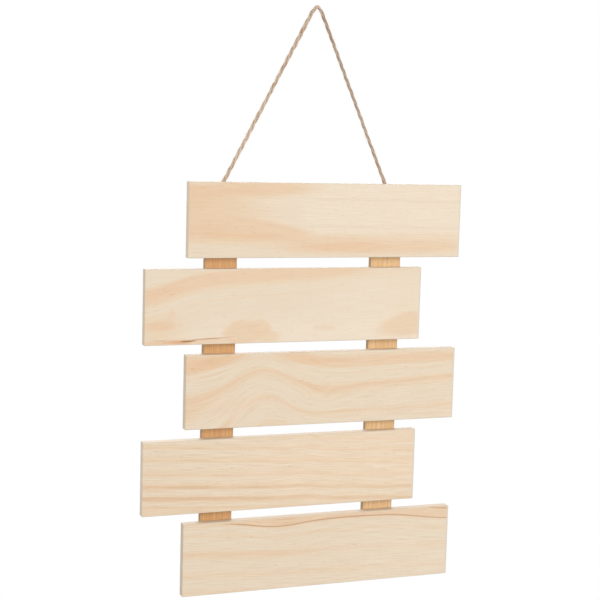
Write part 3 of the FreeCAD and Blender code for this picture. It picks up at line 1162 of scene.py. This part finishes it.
    def _add_hair(self, curve: Curve, frames: Sequence[CordFrame], draw: random.Random) -> None:
        """Add one stray fibre that leaves the cord and bends away along it.

        Args:
            curve: The curve that gets the fibre.
            frames: The cord's places and directions.
            draw: The random draws.
        """
        count = self.HAIR_POINTS
        margin = max(self.HAIR_STRIDES) * count
        stride = draw.choice(self.HAIR_STRIDES)
        first = draw.randrange(margin, len(frames) - margin)
        angle, curl = draw.uniform(0, math.tau), draw.uniform(-self.HAIR_CURL, self.HAIR_CURL)
        reach = draw.uniform(self.HAIR_SHORTEST, 1.0) * self.hair_reach
        root = self.HAIR_ROOT * self.diameter
        spline = curve.splines.new("POLY")
        spline.points.add(count - 1)
        for index, point in enumerate(spline.points):
            share = index / (count - 1)
            _, place, sideways, outwards = frames[first + stride * index]
            radius = root + math.sin(share * math.pi / 2) * (reach - root)
            turn = angle + curl * share
            offset = radius * (math.cos(turn) * sideways + math.sin(turn) * outwards)
            point.co = (*((place + offset) * MM), 1.0)
            point.radius = self.hair_share * (1 - self.HAIR_TAPER * share)


@dataclass
class HangingRope:
    """The cord from batten to batten over its hook, with a stopper knot at each end.

    Attributes:
        cord: How the cord is laid up.
        left_end: Where the cord meets its left knot.
        left_corner: Where its left leg would meet the level line over the hook.
        right_corner: Where its right leg would meet that line.
        right_end: Where the cord meets its right knot.
        straight: How far from the hook each leg becomes straight.
        staple_grip: How far above its knot the staple and the board press the cord flat.
        slack: How loose the cord's lay is, by the share of its length from the left end.
    """

    cord: JuteCord = field(default_factory=JuteCord)
    left_end: Vector = field(default_factory=lambda: Vector((-100.439, 0.0, -185.842)))
    left_corner: Vector = field(default_factory=lambda: Vector((-2.576, 0.0, 1.75)))
    right_corner: Vector = field(default_factory=lambda: Vector((2.768, 0.0, 1.75)))
    right_end: Vector = field(default_factory=lambda: Vector((85.684, 0.0, -185.869)))
    straight: float = 21.0
    staple_grip: float = 13.0
    slack: tuple[Pair, ...] = (
        (0.0, 1.05), (0.22, 1.12), (0.32, 1.04), (0.42, 1.27), (0.53, 1.0), (0.6, 0.91), (1.0, 0.91),
    )

    # How much wider and flatter the cord is where it is pressed.
    PRESSED_WIDER, PRESSED_FLATTER = 0.55, 0.15
    # An overhand knot, in units of its scale: down along the cord, across it, and out from the batten.
    KNOT = (
        (-4.0, 0.0, -1.0), (-2.4, -0.5, -1.0), (-1.2, -1.3, -0.9), (-0.9, 0.6, 0.0), (1.0, 2.0, 1.0),
        (2.6, 1.5, 0.0), (2.2, -0.1, -1.0), (0.0, -1.0, 0.0), (-2.2, -0.1, 1.0), (-2.6, 1.5, 0.0),
        (-1.0, 2.0, -1.0), (0.9, 0.6, 0.0), (1.3, -1.2, 0.8), (2.8, -1.2, 0.2), (4.5, -0.2, -0.9),
        (7.0, 0.3, -1.0), (9.0, 0.0, -1.0),
    )
    KNOT_SCALE = (1.6, 1.5, 1.65)
    KNOT_DROP = 5.4
    KNOT_STEP = 0.6
    # A knot is pulled tight, and its tail opens over this length by these shares, sideways and outwards.
    KNOT_TIGHT = 0.95
    FRAY_LENGTH = 5
    FRAY = (0.7, 0.3)

    def build(self) -> None:
        """Lay up the cord and its knots, and say what they are."""
        jute = JuteFibre().material("twisted_jute")
        left_lean = (self.left_corner - self.left_end).normalized()
        right_lean = (self.right_corner - self.right_end).normalized()
        route = [
            self.left_end,
            self.left_corner - self.straight * left_lean,
            self.left_corner,
            self.right_corner,
            self.right_corner - self.straight * right_lean,
            self.right_end,
        ]
        line = smooth_line(route, self.cord.step)
        length = length_of(line)
        rope = self.cord.lay_up("jute_rope", line, partial(self._looseness, length), jute, seed=11)
        knots = [
            self._knot("left_jute_knot", self.left_end, left_lean, Side.LEFT, jute, seed=23),
            self._knot("right_jute_knot", self.right_end, right_lean, Side.RIGHT, jute, seed=31),
        ]
        for piece, node in zip((rope, *knots), ("hanging_rope", "left_rope_knot", "right_rope_knot")):
            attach(piece, BODY)
            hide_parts(node)
        log.info("jute_rope: %.1f mm of %.1f mm cord", length, self.cord.diameter)

    def _looseness(self, length: float, distance: float) -> Pair:
        """Say how loose the cord's lay is, and how the staples and the board press it flat.

        Args:
            length: The cord's length.
            distance: How far along the cord, from its left end.

        Returns:
            Its spread sideways and outwards there.
        """
        nearer = min(distance, length - distance)
        pressed = math.exp(-((nearer / self.staple_grip) ** 2))
        share = min(distance / length, 1.0)
        after = next(count for count, (place, _) in enumerate(self.slack) if count and place >= share)
        (start, tight), (end, slack) = self.slack[after - 1 : after + 1]
        loose = tight + (slack - tight) * (share - start) / (end - start)
        return loose + self.PRESSED_WIDER * pressed, loose - self.PRESSED_FLATTER * pressed

    def _fray(self, length: float, distance: float) -> Pair:
        """Say how far a knot's cord has opened towards its cut end.

        Args:
            length: The length of the knot's cord.
            distance: How far along it.

        Returns:
            Its spread sideways and outwards there.
        """
        opened = max(0.0, (distance - length + self.FRAY_LENGTH) / self.FRAY_LENGTH) ** 2
        wider, higher = self.FRAY
        return self.KNOT_TIGHT + wider * opened, self.KNOT_TIGHT + higher * opened

    def _knot(
        self, name: str, top: Vector, lean: Vector, side: Side, material: Material, seed: int
    ) -> Object:
        """Tie an overhand knot below the cord's end, on the batten's back.

        Args:
            name: The piece's name.
            top: Where the cord ends.
            lean: The cord's direction, upwards.
            side: Which side it bulges to.
            material: The finish.
            seed: Start of the random draws.

        Returns:
            The knot with its frayed tail.
        """
        outwards = Vector((0.0, 1.0, 0.0))
        across = side.value * lean.cross(outwards)
        middle = top - self.KNOT_DROP * lean
        down_scale, across_scale, out_scale = self.KNOT_SCALE
        route = [
            middle
            - down * down_scale * lean
            + aside * across_scale * across
            + (out + 1) * out_scale * outwards
            for down, aside, out in self.KNOT
        ]
        line = smooth_line(route, self.KNOT_STEP)
        length = length_of(line)
        piece = self.cord.lay_up(name, line, partial(self._fray, length), material, seed)
        log.info("%s: %.1f mm of cord", name, length)
        return piece


@dataclass
class Studio:
    """White surroundings, soft boxes in front, to the left and behind, and the camera.

    Attributes:
        target: The point in the boards' front plane at the middle of the picture.
        distance: From the camera to that point.
        yaw: How far the camera looks to the right, in degrees.
        pitch: How far it looks up.
        roll: How far it is turned anticlockwise.
        lens: Its focal length for the sensor's width.
        sensor: The sensor's width.
        brighter_towards: The direction that the surroundings are brightest in.
        surroundings: Their strength away from there and towards it.
        lamps: Each lamp's name, place, side length and power in watts.
        floor_height: The floor, below the sign.
        floor_radius: The floor's size.
        floor_glow: What the floor adds, where it is seen, to look white.
    """

    target: Vector = field(default_factory=lambda: Vector((-16.691, -17.8, -297.098)))
    distance: float = 1442.63
    yaw: float = 20.3896
    pitch: float = -6.8430
    roll: float = 1.5771
    lens: float = 84.061
    sensor: float = 36.0
    brighter_towards: Triple = (0.0, -0.6, 0.8)
    surroundings: Pair = (0.05, 0.85)
    lamps: tuple[tuple[str, Triple, float, float], ...] = (
        ("key", (900, -1500, 150), 900, 11.3),
        ("side", (-1500, -700, 100), 900, 6.8),
        ("back", (300, 1500, 300), 1200, 19.0),
    )
    floor_height: float = -1600.0
    floor_radius: float = 1200.0
    floor_glow: float = 0.35

    def build(self) -> None:
        """Make the camera, the world, the lamps and the floor."""
        self._camera()
        self._world()
        for name, place, size, power in self.lamps:
            self._lamp(name, Vector(place), size, power)
        self._floor()

    def _camera(self) -> None:
        """Set the camera where the photograph was taken from."""
        data = bpy.data.cameras.new("camera")
        data.sensor_width = self.sensor
        data.lens = self.lens
        camera = bpy.data.objects.new("camera", data)
        turn = (
            Matrix.Rotation(-math.radians(self.yaw), 4, "Z")
            @ Matrix.Rotation(math.pi / 2 + math.radians(self.pitch), 4, "X")
            @ Matrix.Rotation(math.radians(self.roll), 4, "Z")
        )
        back = turn @ Vector((0.0, 0.0, self.distance))
        camera.matrix_world = Matrix.Translation((self.target + back) * MM) @ turn
        bpy.context.scene.collection.objects.link(camera)
        bpy.context.scene.camera = camera

    @staticmethod
    def _seen(tree: NodeTree) -> Source:
        """Say whether a ray comes from the camera or through gloss or glass.

        Args:
            tree: The tree of the material or the world.

        Returns:
            What gives 1 for such a ray and 0 for any other.
        """
        path = add_node(tree, "LightPath").outputs
        seen = path["Is Camera Ray"]
        for kind in ("Is Glossy Ray", "Is Transmission Ray"):
            seen = add_node(tree, "Math", {0: seen, 1: path[kind]}, operation="MAXIMUM")
        return seen

    def _world(self) -> None:
        """Show white, and light the sign softly from all round."""
        world = bpy.data.worlds.new("white_surroundings")
        bpy.context.scene.world = world
        world.use_nodes = True
        tree = world.node_tree
        tree.nodes.clear()
        add_node(tree, "OutputWorld")
        direction = add_node(tree, "TexCoord").outputs["Generated"]
        ends = {0: direction, 1: self.brighter_towards}
        facing = add_node(tree, "VectorMath", ends, operation="DOT_PRODUCT")
        dim, bright = self.surroundings
        limits = {"From Min": -1.0, "To Min": dim, "To Max": bright}
        strength = add_node(tree, "MapRange", {"Value": facing, **limits})
        light = add_node(tree, "Background", {"Color": linear(WHITE), "Strength": strength})
        white = add_node(tree, "Background", {"Color": linear(WHITE), "Strength": 1.0})
        set_surface(tree, add_node(tree, "MixShader", {0: self._seen(tree), 1: light, 2: white}))
        bpy.context.scene.view_settings.view_transform = "Standard"

    def _lamp(self, name: str, place: Vector, size: float, power: float) -> None:
        """Hang a square soft box that faces the sign.

        Args:
            name: The lamp's name.
            place: Where it hangs.
            size: The length of its side.
            power: Its power in watts.
        """
        data = bpy.data.lights.new(name, "AREA")
        data.size = size * MM
        data.energy = power
        lamp = bpy.data.objects.new(name, data)
        lamp.location = place * MM
        lamp.rotation_euler = (self.target - place).to_track_quat("-Z", "Y").to_euler()
        bpy.context.scene.collection.objects.link(lamp)

    def _floor(self) -> None:
        """Lay a pale round floor below the sign, of matt paper that looks white and keeps its shadows."""
        shape = bmesh.new()
        bmesh.ops.create_circle(shape, cap_ends=True, segments=96, radius=self.floor_radius * MM)
        bmesh.ops.translate(shape, vec=(0.0, 0.0, self.floor_height * MM), verts=shape.verts)
        mesh = bpy.data.meshes.new("floor")
        shape.to_mesh(mesh)
        shape.free()
        material, tree = new_material("matt_white_paper")
        paper = add_node(tree, "BsdfDiffuse", {"Color": linear("#F4F4F2")})
        glow = add_node(tree, "Emission", {"Color": linear(WHITE), "Strength": self.floor_glow})
        both = add_node(tree, "AddShader", {0: paper, 1: glow})
        set_surface(tree, add_node(tree, "MixShader", {0: self._seen(tree), 1: paper, 2: both}))
        mesh.materials.append(material)
        floor = bpy.data.objects.new("floor", mesh)
        bpy.context.scene.collection.objects.link(floor)


def main() -> None:
    """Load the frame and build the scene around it."""
    logging.basicConfig(level=logging.INFO, format="%(name)s: %(message)s")
    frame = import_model()
    Studio().build()
    HangingRope().build()
    nodes = frame["nodes"]
    for assembly in Boards(nodes), Battens(nodes), Fasteners(nodes):
        assembly.finish()


if __name__ == "__main__":
    main()
